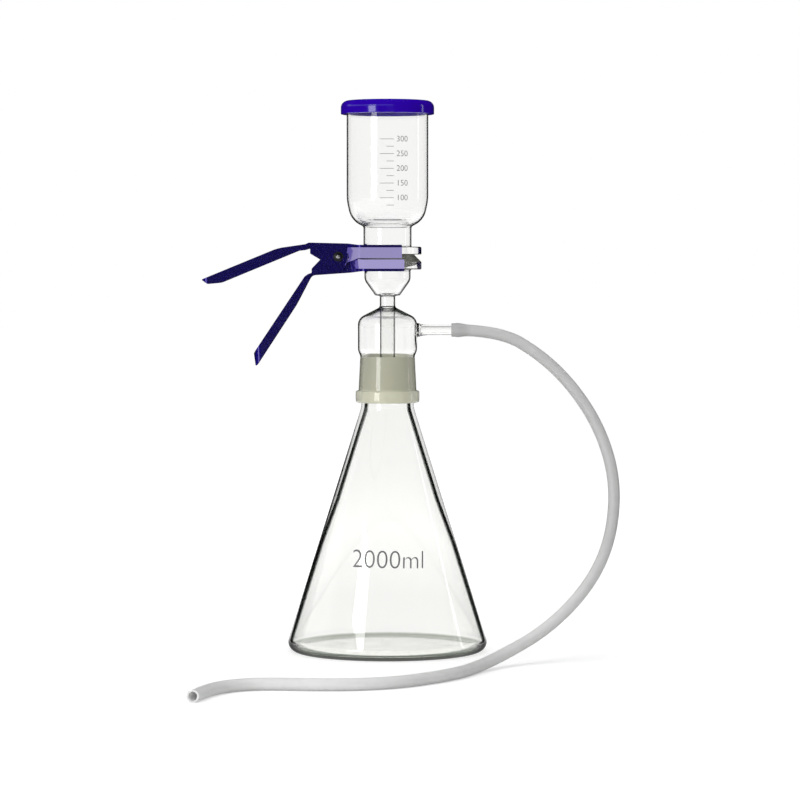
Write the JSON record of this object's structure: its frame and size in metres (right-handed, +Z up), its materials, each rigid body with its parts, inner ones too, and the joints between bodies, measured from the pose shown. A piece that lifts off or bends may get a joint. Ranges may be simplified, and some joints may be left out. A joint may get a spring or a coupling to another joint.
{
  "type": "vacuum filtration unit",
  "caption": "Glass filter funnel with a lid, spring-clamped by its flange to a fritted filter base that stands in a conical receiving flask, with a side hose barb and a vacuum hose.",
  "frame": {"origin": "centre of the flask's base on the bench", "axes": "+Z up along the axis of the glassware, +X towards the hose barb, -X towards the clamp's handles, +Y away from the side that carries the scale"},
  "size_m": [0.3569, 0.4248, 0.4737],
  "materials": {
    "glass": "clear blown borosilicate glass, ground on the joint",
    "sintered_glass": "white sintered glass, matt",
    "lid_plastic": "smooth moulded blue plastic",
    "anodised_aluminium": "blue-violet anodised sheet",
    "steel": "bright stainless steel",
    "blackened_steel": "black",
    "silicone": "translucent pale grey silicone, satin"
  },
  "bodies": {
    "glassware": {"flask": "glass", "filter_base": "glass", "frit_disc": "sintered_glass", "funnel": "glass", "lid": "lid_plastic", "clamp_pin": "steel", "washer_front": "blackened_steel", "washer_back": "blackened_steel", "clamp_spring": "steel", "hose": "silicone"},
    "upper_jaw": {"clamp_upper": "anodised_aluminium"},
    "lower_jaw": {"clamp_lower": "anodised_aluminium"}
  },
  "joints": [
    {"name": "upper_jaw_hinge", "type": "hinge", "parent": "glassware", "child": "upper_jaw", "pos_m": [-0.042, 0, 0.33965], "axis": [0, -1, 0], "range_deg": [0, 12], "stiffness_Nm_per_rad": 1.1, "springref_deg": -28.65, "deforming": ["clamp_spring"]},
    {"name": "lower_jaw_hinge", "type": "hinge", "parent": "glassware", "child": "lower_jaw", "pos_m": [-0.042, 0, 0.33965], "axis": [0, 1, 0], "range_deg": [0, 12], "stiffness_Nm_per_rad": 1.1, "springref_deg": -28.65, "deforming": ["clamp_spring"]}
  ],
  "couplings": [
    {"joint": "lower_jaw_hinge", "follows": "upper_jaw_hinge", "ratio": 1}
  ]
}
